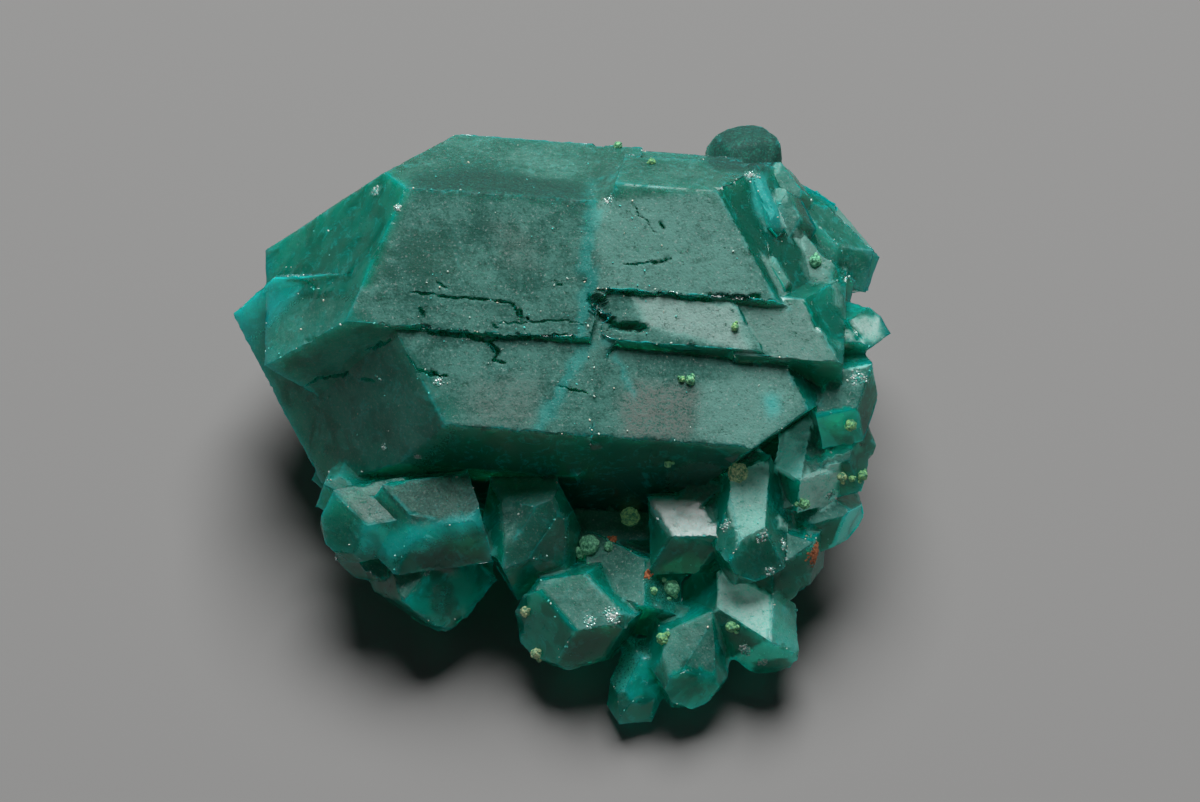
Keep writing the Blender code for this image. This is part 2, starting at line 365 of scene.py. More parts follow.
# Crystals whose corners are worn round: where they are, how often they are smoothed, and how nearly they
# become a ball. The ball's size and its depth under the pixel are shares of the spot's radius.
ROUNDED = (
    (Spot(430, 590, 2.9), 60, 0.25),
    (Spot(745, 155, 2.3), 60, 0.4),
    (Spot(770, 655, 2.0), 60, 0.35),
)
BALL_SIZE = 0.62
BALL_DEPTH = 0.45
SIZE_KEEPING_PULLS = (0.6, -0.62)

# Steps of the large crystal that run unevenly, how far edges stray, and how much of that elsewhere.
STEPS = (
    Trace(((605, 290), (690, 298), (783, 307)), 0.45),
    Trace(((614, 346), (700, 355), (827, 368)), 0.45),
    Trace(((391, 326), (480, 334), (589, 341)), 0.45),
    Trace(((739, 304), (761, 350)), 0.35),
    Trace(((395, 190), (500, 197), (600, 205)), 0.3),
    Trace(((430, 425), (540, 432), (640, 438), (750, 446)), 0.3),
)
STRAY = 0.13
STRAY_ELSEWHERE = 0.2
STRAYING = [Lumps(0.6, 4, start) for start in (31.0, 37.0, 41.0)]
STILL_BELOW = 0.3

# Low steps that fade into the face.
EASED = (
    Trace(((616, 150), (611, 190), (600, 250), (598, 290)), 0.5),
    Trace(((600, 345), (597, 400), (595, 424)), 0.45),
    Trace(((593, 452), (592, 480)), 0.5),
)
EASING_TIMES = 60

# Chips off the ridges, and the wear along them.
CHIP_CHANCE = 0.035
CHIP_DEPTHS = (0.03, 0.13)
CHIP_SPAN = 3.5
CHIP_LEAN = 0.35
CHIPS_ABOVE = 0.5
WEAR_DEPTHS = (0.015, 0.05)
RIDGE_WEAR = Lumps(0.7, 3, 17.0)

# Relief of the faces: broad swellings, low growth steps and fine etching.
BROAD_GROWTH = Lumps(2.6, 2, 3.0)
BROAD_DEPTH = 0.02
GROWTH_STEPS = Lumps(3.4, 3, 11.0)
STEP_LEVELS = 4.0
STEP_DEPTH = 0.03
ETCHING = Lumps(0.45, 3, 7.0)
ETCHING_DEPTH = 0.018
DEEPEST_RELIEF = 0.15
LUMP_SHIFT = (1.0, 1.7, 2.3)

# Grains lie closer together towards the middle of their spot. How far they rise from the surface or sink
# into it, and how wide they are, are shares of their own size.
SCATTER_POWER = 0.6
BALL_LUMPS = (0.5, 4)
BALL_UNEVENNESS = 0.24
FURTHEST_START = 90.0
NEEDLE_RINGS = (-0.4, 0.6)
NEEDLE_ROOT = -0.6

# Yellow-green globules, and how far their middles stand above the surface.
GLOBULES = spots(
    (367, 183, 0.24), (618, 147, 0.16), (652, 163, 0.14), (690, 380, 0.17), (682, 379, 0.12),
    (735, 327, 0.14), (630, 518, 0.36), (590, 546, 0.36), (609, 547, 0.18), (668, 463, 0.14),
    (738, 475, 0.36), (803, 503, 0.20), (842, 476, 0.18), (852, 478, 0.12), (861, 475, 0.20),
    (670, 589, 0.30), (653, 591, 0.14), (664, 639, 0.22), (732, 626, 0.20), (537, 653, 0.20),
    (526, 611, 0.18), (815, 262, 0.22), (850, 424, 0.22),
)
GLOBULE_RISE = 0.35

# Smaller globules beside a large one, as shares of its radius.
BESIDE_COUNT = (2, 6)
BESIDE_REACH = 1.5
BESIDE_SIZES = (0.25, 0.55)
BESIDE_RISE = 0.3

# Patches of sparkling druse: how many grains to a square of the spot's radius, and how many more, their
# lengths, how wide they are, how deep they sit and how much they lean.
DRUSE = spots(
    (858, 378, 0.36), (752, 458, 0.26), (762, 537, 0.30), (784, 545, 0.26), (770, 572, 0.24),
    (745, 650, 0.26), (762, 662, 0.26), (725, 525, 0.26), (830, 495, 0.30), (750, 176, 0.30),
    (612, 616, 0.40), (590, 622, 0.30), (438, 381, 0.22), (418, 457, 0.18), (384, 447, 0.16),
    (398, 208, 0.20), (375, 191, 0.26), (427, 572, 0.18), (609, 200, 0.20),
)
DRUSE_DENSITY = 520
DRUSE_EXTRA = 12
DRUSE_SIZES = (0.03, 0.10)
DRUSE_WIDTH = 0.75
DRUSE_SUNK = 0.35
DRUSE_LEAN = 0.5

# Patches of iron crust, in the same way.
CRUST = spots(
    (815, 553, 0.52), (613, 540, 0.22), (648, 575, 0.18),
)
CRUST_DENSITY = 420
CRUST_EXTRA = 8
CRUST_SIZES = (0.04, 0.12)
CRUST_SUNK = 0.5

# Loose specks: how many there are, how far their ground faces the way of the dust, and their lengths.
SPECKS_ON_FACES = 420
SPECKS_ON_EDGES = 260
SPECK_FACING = 0.45
SPECK_EDGE_FACING = 0.35
SPECK_SIZES = (0.02, 0.075)
SPECK_WIDTH = 0.5
SPECK_LEAN = 0.7

# Colours.
DEEP_GREEN = (0.0, 0.20, 0.13, 1.0)
VIVID_GREEN = (0.0, 0.66, 0.49, 1.0)
TURQUOISE = (0.0, 0.88, 0.82, 1.0)
GREEN_DUST = (0.008, 0.13, 0.10, 1.0)
TEAL_DUST = (0.11, 0.36, 0.30, 1.0)
# Pale dust that is also painted light on shaded facets, white dust that is also painted highlight, and a
# dark green that is painted shade.
PALE_DUST_AND_PAINTED_LIGHT = (0.30, 0.64, 0.56, 1.0)
WHITE_DUST_AND_PAINTED_HIGHLIGHT = (0.72, 0.82, 0.78, 1.0)
DARK_PAINTED_SHADE = (0.004, 0.045, 0.036, 1.0)
GREY_DUST = (0.24, 0.30, 0.27, 1.0)
BLACK = (0.0, 0.0, 0.0, 1.0)
INSIDE_COLOUR = (0.0, 0.984, 0.968, 1.0)
GLOBULE_TEAL = (0.20, 0.58, 0.34, 1.0)
GLOBULE_GREEN = (0.26, 0.55, 0.20, 1.0)
GLOBULE_YELLOW = (0.58, 0.62, 0.34, 1.0)
# The globules' colour mottle: dark in the low parts of their bump as painted shade, pale on its high parts
# as painted highlight.
GLOBULE_HOLLOWS = (0.03, 0.20, 0.11, 1.0)
GLOBULE_TIPS = (0.80, 0.86, 0.60, 1.0)
DRUSE_TEAL = (0.10, 0.55, 0.46, 1.0)
DRUSE_WHITE = (0.85, 0.93, 0.89, 1.0)
SPECK_TEAL = (0.10, 0.62, 0.55, 1.0)
SPECK_PALE = (0.55, 0.70, 0.62, 1.0)
SPECK_CREAM = (0.78, 0.74, 0.60, 1.0)
IRON_BROWN = (0.22, 0.065, 0.022, 1.0)
IRON_ORANGE = (0.58, 0.21, 0.09, 1.0)

# The crystals' finish: how much light is lost inside, how strongly it bends, how far the bloom may cover the
# crystal, how streaks run and are drawn out, and what is stored at each point.
INSIDE_DENSITY = 3000.0
CRYSTAL_IOR = 1.67
COAT_IOR = 1.8
MOST_BLOOM = 0.92
STREAK_TURN = math.radians(-52)
SLANTED_STREAKS = (4.5, 1.0, 1.0)
LEVEL_STREAKS = (6.0, 1.0, 1.0)
LOOKS = ("dust", "pale", "grey", "gloss", "glow", "turquoise")


def smooth_step(value):
    value = np.clip(value, 0.0, 1.0)
    return value * value * (3.0 - 2.0 * value)


def fade(distance, reach, steepness=FADE):
    """From 1 near something to 0 at its reach. The steeper it is, the further out the 1 goes on."""
    return smooth_step(steepness * (1.0 - distance / reach))


def part_way(limits, share):
    """The value at a share of the way between two limits."""
    return limits[0] + (limits[1] - limits[0]) * share


def lengths_of(vectors):
    return np.linalg.norm(vectors, axis=1)


def unit(vectors):
    """The vectors at a length of 1."""
    return vectors / np.maximum(lengths_of(vectors), TINY)[:, None]


def pixel_ray(x, y):
    """The camera's place, and the direction through a pixel of the photograph."""
    tilt = math.radians(CAMERA_ELEVATION)
    back = Vector((0.0, -math.cos(tilt), math.sin(tilt)))
    up = Vector((0.0, math.sin(tilt), math.cos(tilt)))
    eye = Vector(CAMERA_TARGET) + back * CAMERA_DISTANCE
    across = (x - PHOTO_WIDTH / 2) * PIXEL
    above = (PHOTO_HEIGHT / 2 - y) * PIXEL
    aim = Vector(CAMERA_TARGET) + Vector((across, 0.0, 0.0)) + up * above
    return eye, (aim - eye).normalized()


def pixels_of(points):
    """The pixels of the photograph that points show at."""
    eye, forward = pixel_ray(PHOTO_WIDTH / 2, PHOTO_HEIGHT / 2)
    forward = np.array(forward)
    up = np.cross((1.0, 0.0, 0.0), forward)
    away = points - np.array(eye)
    scale = CAMERA_DISTANCE / (away @ forward) / PIXEL
    return np.stack([PHOTO_WIDTH / 2 + away[:, 0] * scale, PHOTO_HEIGHT / 2 - (away @ up) * scale], axis=1)


def under_pixel(tree, x, y):
    """The point and outward direction of the surface that a pixel shows, or None beside the specimen."""
    hit, normal, _, _ = tree.ray_cast(*pixel_ray(x, y))
    return None if hit is None else (hit, normal)


def trace_points(tree, trace):
    """Points of the surface along a trace, about a pixel apart."""
    found = []
    for start, end in zip(trace.pixels, trace.pixels[1:]):
        steps = max(2, round(math.dist(start, end)))
        for step in range(steps + 1):
            share = step / steps
            x = start[0] + (end[0] - start[0]) * share
            y = start[1] + (end[1] - start[1]) * share
            wander = noise.noise_vector(Vector((x, y, 0.0)) / WANDER_LENGTH) * WANDER
            hit = under_pixel(tree, x + wander.x, y + wander.y)
            if hit:
                found.append(hit[0])
    return np.array(found)


def distance_to(points, targets, reach):
    """Each point's distance to the nearest target, or reach where none is nearer."""
    result = np.full(len(points), float(reach))
    inside = np.all((points > targets.min(0) - reach) & (points < targets.max(0) + reach), axis=1)
    near = np.flatnonzero(inside)
    for part in np.array_split(near, max(1, len(near) * len(targets) // GAPS_AT_ONCE)):
        gaps = points[part][:, None, :] - targets[None, :, :]
        result[part] = np.minimum(reach, np.sqrt((gaps**2).sum(2)).min(1))
    return result


def cad_solid():
    """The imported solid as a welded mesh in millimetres."""
    bm = bmesh.new()
    bm.from_mesh(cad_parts[NODE].data)
    bmesh.ops.scale(bm, vec=(1 / MM,) * 3, verts=bm.verts)
    bmesh.ops.remove_doubles(bm, verts=bm.verts, dist=WELD)
    bmesh.ops.dissolve_limit(bm, angle_limit=SAME_PLANE, verts=bm.verts, edges=bm.edges)
    bmesh.ops.triangulate(bm, faces=bm.faces, quad_method="BEAUTY", ngon_method="BEAUTY")
    bm.verts.index_update()
    bm.normal_update()
    return bm


def in_order(elements, wanted):
    """The wanted elements in the mesh's own order, which is the same in every run."""
    return [element for element in elements if element in wanted]


def cut_corner(bm, place, depth):
    """Slices off the corner nearest to a place and closes the cut, unless the cut would reach too far."""
    corners = [v for v in bm.verts if all(e.calc_face_angle_signed(0.0) > -FLAT_ANGLE for e in v.link_edges)]
    corner = min(corners, key=lambda v: (v.co - place).length)
    outward = corner.normal.copy()
    level = corner.co - outward * depth
    middle = corner.co.copy()
    above, waiting = {corner}, [corner]
    while waiting:
        for edge in waiting.pop().link_edges:
            for other in edge.verts:
                if other not in above and (other.co - level).dot(outward) > 0.0:
                    above.add(other)
                    waiting.append(other)
    if max((v.co - middle).length for v in above) > CORNER_REACH:
        return
    faces = {f for v in above for f in v.link_faces}
    parts = in_order(bm.faces, faces)
    parts += in_order(bm.edges, {e for f in faces for e in f.edges})
    parts += in_order(bm.verts, {v for f in faces for v in f.verts})
    bmesh.ops.bisect_plane(bm, geom=parts, dist=WELD, plane_co=level, plane_no=outward)
    bmesh.ops.delete(bm, geom=in_order(bm.verts, above), context="VERTS")
    rim = [e for e in bm.edges if e.is_boundary]
    bmesh.ops.contextual_create(bm, geom=rim)
    bmesh.ops.triangulate(bm, faces=[f for f in bm.faces if len(f.verts) > 3], ngon_method="EAR_CLIP")
    bm.normal_update()


def faceted_solid(solid):
    """Gives the small crystals their smaller faces."""
    tree = BVHTree.FromBMesh(solid)
    for spot in CORNERS:
        found = under_pixel(tree, spot.x, spot.y)
        if found:
            cut_corner(solid, found[0], spot.radius)
    bmesh.ops.recalc_face_normals(solid, faces=solid.faces)
    solid.verts.index_update()
    solid.normal_update()
    return solid


def mesh_arrays(bm):
    """The points and triangles of a triangulated mesh."""
    return np.array([v.co for v in bm.verts]), np.array([[v.index for v in f.verts] for f in bm.faces])


def cells(points):
    """One number for the small cube of space that each point is in."""
    steps = np.floor(points / CELL).astype(np.int64) + CELLS_ACROSS // 2
    return (steps[:, 0] * CELLS_ACROSS + steps[:, 1]) * CELLS_ACROSS + steps[:, 2]


def cells_round(points, reach):
    """The cells of space that are within about a reach of any of the points."""
    around = np.array([(x, y, z) for x in (-1, 0, 1) for y in (-1, 0, 1) for z in (-1, 0, 1)]) * reach
    return np.unique(cells((points[:, None, :] + around[None, :, :]).reshape(-1, 3)))


def wanted_edge(middles, upward, ridge_cells, crack_cells):
    """How long an edge at these places may be."""
    wanted = np.where(upward > SEEN_UPWARD, EDGE_SEEN, EDGE_HIDDEN)
    wanted = np.where(upward > TOP_UPWARD, EDGE_TOP, wanted)
    place = cells(middles)
    wanted = np.where(np.isin(place, ridge_cells), np.minimum(wanted, EDGE_RIDGE), wanted)
    wanted = np.where(np.isin(place, crack_cells), EDGE_CRACK, wanted)
    return np.where(middles[:, 2] < BASE_SKIN, EDGE_BASE, wanted)


def ridge_points(bm):
    """Points along the solid's sharp outward edges, a cell apart at most."""
    found = []
    for edge in bm.edges:
        if math.degrees(edge.calc_face_angle_signed(0.0)) > SHARP_RIDGE:
            start, end = (v.co for v in edge.verts)
            steps = math.ceil((end - start).length / CELL) + 1
            found += [start.lerp(end, step / steps) for step in range(steps + 1)]
    return np.array(found)


def edge_table(triangles):
    """Every edge's two ends, and for each triangle which edge leaves each of its corners."""
    starts, ends = triangles.ravel(), np.roll(triangles, -1, axis=1).ravel()
    keys = np.minimum(starts, ends) * (triangles.max() + 1) + np.maximum(starts, ends)
    kinds, which = np.unique(keys, return_inverse=True)
    edges = np.stack([kinds // (triangles.max() + 1), kinds % (triangles.max() + 1)], axis=1)
    return edges, which.reshape(-1, 3)


def face_normals(points, triangles):
    first, second, third = (points[triangles[:, i]] for i in range(3))
    return unit(np.cross(second - first, third - first))


def turned(triangles, middles, shift):
    """The triangles and the middles of their sides, with another corner first."""
    order = (np.arange(3)[None, :] + shift[:, None]) % 3
    return np.take_along_axis(triangles, order, 1), np.take_along_axis(middles, order, 1)


def split_triangles(points, triangles, middles):
    """Triangles whose sides have new middle points, or -1 for none, as smaller triangles."""

    def corners_and_mids(picked, shift):
        corners, mids = turned(triangles[picked], middles[picked], shift)
        return *corners.T, *mids.T

    def rows(*columns):
        return np.stack(columns, 1)

    cut = middles >= 0
    count = cut.sum(1)
    one, two, three = (count == cuts for cuts in (1, 2, 3))
    a, b, c, ab, _, _ = corners_and_mids(one, cut[one].argmax(1))
    parts = [triangles[count == 0], rows(a, ab, c), rows(ab, b, c)]
    a, b, c, ab, bc, _ = corners_and_mids(two, ((~cut[two]).argmax(1) + 1) % 3)
    short = (lengths_of(points[a] - points[bc]) < lengths_of(points[c] - points[ab]))[:, None]
    parts += [
        rows(ab, b, bc),
        np.where(short, rows(a, ab, bc), rows(a, ab, c)),
        np.where(short, rows(a, bc, c), rows(ab, bc, c)),
    ]
    a, b, c, ab, bc, ca = *triangles[three].T, *middles[three].T
    parts += [rows(a, ab, ca), rows(b, bc, ab), rows(c, ca, bc), rows(ab, bc, ca)]
    return np.concatenate(parts)


def divided(points, triangles, ridge_cells, crack_cells):
    """Splits edges in two until none is longer than wanted."""
    for _ in range(MOST_DIVISIONS):
        edges, which = edge_table(triangles)
        middles = points[edges].mean(1)
        lengths = lengths_of(points[edges[:, 0]] - points[edges[:, 1]])
        upward = np.full(len(edges), -1.0)
        heights = face_normals(points, triangles)[:, 2]
        for side in range(3):
            np.maximum.at(upward, which[:, side], heights)
        long = lengths > wanted_edge(middles, upward, ridge_cells, crack_cells)
        if not long.any():
            break
        longest = np.take_along_axis(which, lengths[which].argmax(1)[:, None], 1)[:, 0]
        for _ in range(SPREADING_ROUNDS):
            long[longest[long[which].any(1)]] = True
        added = np.full(len(edges), -1)
        added[long] = len(points) + np.arange(long.sum())
        points = np.concatenate([points, middles[long]])
        triangles = split_triangles(points, triangles, added[which])
    return points, triangles


class Surface:
    """The divided surface as arrays, with its edges and outward directions as they were when it was made."""

    def __init__(self, points, triangles):
        self.points = points
        self.triangles = triangles
        self.edges, which = edge_table(triangles)
        flats = face_normals(points, triangles)
        normals = np.zeros_like(points)
        for corner in range(3):
            here, ahead, behind = (points[triangles[:, (corner + i) % 3]] for i in range(3))
            first, second = ahead - here, behind - here
            cosine = (first * second).sum(1) / (lengths_of(first) * lengths_of(second) + TINY)
            angle = np.arccos(np.clip(cosine, -1.0, 1.0))
            for axis in range(3):
                normals[:, axis] += np.bincount(triangles[:, corner], flats[:, axis] * angle, len(points))
        self.normals = unit(normals)
        beside = np.argsort(which.ravel(), kind="stable").reshape(-1, 2) // 3
        first, second = flats[beside[:, 0]], flats[beside[:, 1]]
        bend = np.degrees(np.arccos(np.clip((first * second).sum(1), -1.0, 1.0)))
        middles = points[triangles].mean(1)
        hollow = ((middles[beside[:, 1]] - middles[beside[:, 0]]) * first).sum(1) > 0.0
        self.ridge = np.unique(self.edges[(bend > SHARP_RIDGE) & ~hollow])
        self.valley = np.unique(self.edges[(bend > SHARP_RIDGE) & hollow])

    def spread(self, values):
        """The mean of each point's neighbours."""
        count = len(self.points)
        first, second = self.edges.T
        weight = np.bincount(first, minlength=count) + np.bincount(second, minlength=count)
        total = np.bincount(first, values[second], count) + np.bincount(second, values[first], count)
        return total / weight

    def soften(self, values, times):
        for _ in range(times):
            values = (values + self.spread(values)) / 2
        return values

    def sink(self, picked, depth):
        """Presses the picked points in by their depths."""
        self.points[picked] -= self.normals[picked] * depth[:, None]

    def facing(self, way):
        """How nearly each point faces a way, from -1 to 1."""
        return self.normals @ np.array(way)

    def tree(self):
        return BVHTree.FromPolygons(self.points.tolist(), self.triangles.tolist())


def grain(points, lumps):
    """Smooth noise from about -1 to 1 at each point."""
    shift = Vector([lumps.start * share for share in LUMP_SHIFT])
    return np.array([noise.fractal(Vector(p) / lumps.size + shift, 1.0, 2.0, lumps.octaves) for p in points])


def relax(surface, share, times, pulls=(1.0,)):
    """Smooths the surface, by each point's share. A second, negative pull keeps its size."""
    active = share > 0.0
    kept = active[surface.edges].any(1)
    first, second = surface.edges[kept].T
    count = len(surface.points)
    weight = np.maximum(1, np.bincount(first, minlength=count) + np.bincount(second, minlength=count))
    used = np.unique(surface.edges[kept])
    where = np.zeros(count, int)
    where[used] = np.arange(len(used))
    first, second, weight, share = where[first], where[second], weight[used], share[used]
    points = surface.points[used].T
    for pull in pulls * times:
        for axis in range(3):
            row = points[axis]
            total = np.bincount(first, row[second], len(used)) + np.bincount(second, row[first], len(used))
            points[axis] = row + (total / weight - row) * share * pull
    surface.points[used] = points.T


def round_corners(surface, tree):
    """Wears the corners of some crystals round, by drawing them towards a ball and smoothing them."""
    for spot, times, roundness in ROUNDED:
        hit = np.array(under_pixel(tree, spot.x, spot.y)[0])
        middle = hit - np.array(TO_CAMERA) * spot.radius * BALL_DEPTH
        away = surface.points - middle
        length = np.maximum(lengths_of(away), 0.01)
        share = fade(length, spot.radius, ROUNDED_FADE)
        ball = middle + away * (BALL_SIZE * spot.radius / length)[:, None]
        surface.points += (ball - surface.points) * (share * roundness)[:, None]
        relax(surface, share, times, SIZE_KEEPING_PULLS)


def cut_cracks(surface, lines):
    """Presses the cracks into the surface, wider in some places and closed at their ends."""
    for trace, line in zip(CRACKS, lines):
        reach = WIDEST_CRACK * trace.width
        distance = distance_to(surface.points, line, reach)
        near = np.flatnonzero(distance < reach)
        here = surface.points[near]
        to_end = np.minimum(lengths_of(here - line[0]), lengths_of(here - line[-1]))
        width = trace.width * (0.8 + 0.9 * grain(here, CRACK_WIDTHS))
        width = width * np.minimum(1.0, CRACK_END + to_end / CRACK_TAPER)
        surface.sink(near, trace.depth * fade(distance[near], width, CRACK_FADE))


def ease_seams(surface, tree):
    """Lets the low steps between some of the solid's blocks fade into the face."""
    for trace in EASED:
        distance = distance_to(surface.points, trace_points(tree, trace), trace.width)
        relax(surface, fade(distance, trace.width), EASING_TIMES)


def stray_edges(surface, tree):
    """Moves points along the surface so that edges run unevenly, most of all the large crystal's steps."""
    nearness = np.full(len(surface.points), STRAY_ELSEWHERE)
    for trace in STEPS:
        distance = distance_to(surface.points, trace_points(tree, trace), trace.width)
        nearness = np.maximum(nearness, fade(distance, trace.width))
    nearness[surface.points[:, 2] < STILL_BELOW] = 0.0
    shift = np.stack([grain(surface.points, lumps) for lumps in STRAYING], axis=1)
    shift -= surface.normals * (shift * surface.normals).sum(1)[:, None]
    surface.points += shift * (STRAY * nearness)[:, None]


def chip_ridges(surface):
    """Breaks small flat chips off the sharp edges, away from where crystals meet."""
    rng = np.random.default_rng(SEED)
    exposed = surface.points[:, 2] > CHIPS_ABOVE
    exposed[surface.valley] = False
    for _ in range(2):
        exposed &= surface.spread(exposed.astype(float)) > 0.999
    corners = surface.ridge[exposed[surface.ridge]]
    for index in rng.choice(corners, int(len(corners) * CHIP_CHANCE), replace=False):
        depth = part_way(CHIP_DEPTHS, rng.random() ** 3)
        outward = surface.normals[index] + rng.normal(0.0, CHIP_LEAN, 3)
        outward /= np.linalg.norm(outward)
        reach = depth * CHIP_SPAN
        gaps = surface.points - surface.points[index]
        near = np.flatnonzero(np.abs(gaps).max(1) < reach)
        spans = (gaps[near] ** 2).sum(1) / reach**2
        above = gaps[near] @ outward + depth * (1.0 - spans)
        cut = (above > 0.0) & (spans < 1.0)
        surface.points[near[cut]] -= outward * above[cut][:, None]


def wear_ridges(surface):
    """Takes the knife edge off every sharp edge, in some places more than in others."""
    ridge = surface.ridge[surface.points[surface.ridge][:, 2] > BASE_SKIN]
    share = 0.5 + 0.5 * grain(surface.points[ridge], RIDGE_WEAR)
    surface.sink(ridge, part_way(WEAR_DEPTHS, np.clip(share, 0.0, 1.0)))


def add_relief(surface):
    """Growth steps and etching, all of it inward so that the specimen keeps its size."""
    points = surface.points
    depth = BROAD_DEPTH * (1.0 + grain(points, BROAD_GROWTH))
    depth += STEP_DEPTH * (1.0 + np.floor(STEP_LEVELS * grain(points, GROWTH_STEPS)) / STEP_LEVELS)
    depth += ETCHING_DEPTH * (1.0 + grain(points, ETCHING))
    depth[points[:, 2] < BASE_SKIN] = 0.0
    surface.sink(slice(None), np.clip(depth, 0.0, DEEPEST_RELIEF))


def thinness(surface):
    """From 0 deep inside thick crystal to 1 where it is very thin, by rays sent in through the surface."""
    tree = surface.tree()
    tilts = [Quaternion((1, 0, 0), RAY_TILT), Quaternion((0, 1, 0), RAY_TILT)]
    tilts += [tilt.inverted() for tilt in tilts] + [Quaternion()]
    total = np.zeros(len(surface.points))
    for index, (point, normal) in enumerate(zip(surface.points, surface.normals)):
        inward = -Vector(normal)
        start = Vector(point) + inward * RAY_START
        for tilt in tilts:
            _, _, _, length = tree.ray_cast(start, tilt @ inward)
            total[index] += math.exp(-(length or 0.0) / LIGHT_DEPTH)
    return total / len(tilts)


def inside_box(points):
    """The points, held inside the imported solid's box."""
    return np.clip(points, *(np.array(corner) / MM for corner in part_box(NODE)))


def finished_mesh(name, points, triangles, attributes):
    """A mesh in metres, held inside the solid's box, with one number per point for each attribute."""
    mesh = bpy.data.meshes.new(name)
    mesh.from_pydata((inside_box(points) * MM).tolist(), [], triangles.tolist())
    for key, values in attributes.items():
        layer = mesh.attributes.new(key, "FLOAT", "POINT")
        layer.data.foreach_set("value", values.astype(np.float32))
    mesh.shade_smooth()
    mesh.set_sharp_from_angle(angle=math.radians(SHADING_ANGLE))
    return mesh


def linked(name, data):
    """An object with this data in the scene."""
    thing = bpy.data.objects.new(name, data)
    bpy.context.scene.collection.objects.link(thing)
    return thing


def add_piece(name, mesh, material):
    piece = linked(name, mesh)
    mesh.materials.append(material)
    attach(piece, BODY)
    return piece


def operators(operation):
    """The plain and the reflected form of an operator, each of which adds a Math node."""

    def plain(self, other):
        return self.calculate(operation, self, other)

    def reflected(self, other):
        return self.calculate(operation, other, self)

    return plain, reflected


class Value:
    """A shader socket. Arithmetic on it adds Math nodes to its material."""

    __add__, __radd__ = operators("ADD")
    __sub__, __rsub__ = operators("SUBTRACT")
    __mul__, __rmul__ = operators("MULTIPLY")
    __pow__, __rpow__ = operators("POWER")

    def __init__(self, finish, socket):
        self.finish = finish
        self.socket = socket

    def calculate(self, operation, *terms):
        return self.finish.node("ShaderNodeMath", {"operation": operation}, dict(enumerate(terms)))

    def clamped(self):
        return self.calculate("MINIMUM", self.calculate("MAXIMUM", self, 0.0), 1.0)

    def gap(self, middle):
        """How far it is from a middle value."""
        return self.calculate("ABSOLUTE", self - middle)

    def between(self, low, high):
        """From 0 at low to 1 at high, with soft ends."""
        sockets = {"Value": self, "From Min": low, "From Max": high}
        return self.finish.node("ShaderNodeMapRange", {"interpolation_type": "SMOOTHSTEP"}, sockets)


class Finish:
    """A material and its nodes."""

    def __init__(self, name):
        self.material = bpy.data.materials.new(name)
        self.material.use_nodes = True
        self.tree = self.material.node_tree
        self.tree.nodes.clear()

    def node(self, kind, settings, sockets, out=0):
        """Adds a node with its settings and its sockets' values or links. Gives its output if it has one."""
        added = self.tree.nodes.new(kind)
        for key, value in settings.items():
            setattr(added, key, value)
        for key, value in sockets.items():
            if isinstance(value, Value):
                self.tree.links.new(value.socket, added.inputs[key])
            else:
                added.inputs[key].default_value = value
        return Value(self, added.outputs[out]) if added.outputs else None

    def place(self):
        """The surface's place in millimetres."""
        metres = self.node("ShaderNodeTexCoord", {}, {}, "Object")
        return self.node("ShaderNodeVectorMath", {"operation": "SCALE"}, {0: metres, "Scale": 1 / MM})

    def stretched(self, place, scale, turn=0.0):
        """The place, stretched so that a pattern on it is longer one way, and turned about the vertical."""
        sockets = {"Vector": place, "Rotation": (0.0, 0.0, turn), "Scale": scale}
        return self.node("ShaderNodeMapping", {"vector_type": "TEXTURE"}, sockets)

    def stored(self, name):
        """A number kept with the mesh."""
        return self.node("ShaderNodeAttribute", {"attribute_name": name}, {}, "Fac")

    def noise(self, place, scale, detail, roughness, distortion=0.0):
        sockets = {"Vector": place, "Scale": scale, "Detail": detail, "Roughness": roughness}
        return self.node("ShaderNodeTexNoise", {}, sockets | {"Distortion": distortion})

    def mixed(self, factor, first, second):
        """A colour from first at factor 0 to second at factor 1."""
        return self.node("ShaderNodeMix", {"data_type": "RGBA"}, {0: factor, 6: first, 7: second}, 2)

    def bump(self, height, strength, distance):
        sockets = {"Strength": strength, "Distance": distance * MM, "Height": height}
        return self.node("ShaderNodeBump", {}, sockets)

    def shader(self, sockets):
        return self.node("ShaderNodeBsdfPrincipled", {}, sockets)

    def done(self, **sockets):
        """The material, with these shaders as its surface and its inside."""
        self.node("ShaderNodeOutputMaterial", {}, sockets)
        return self.material


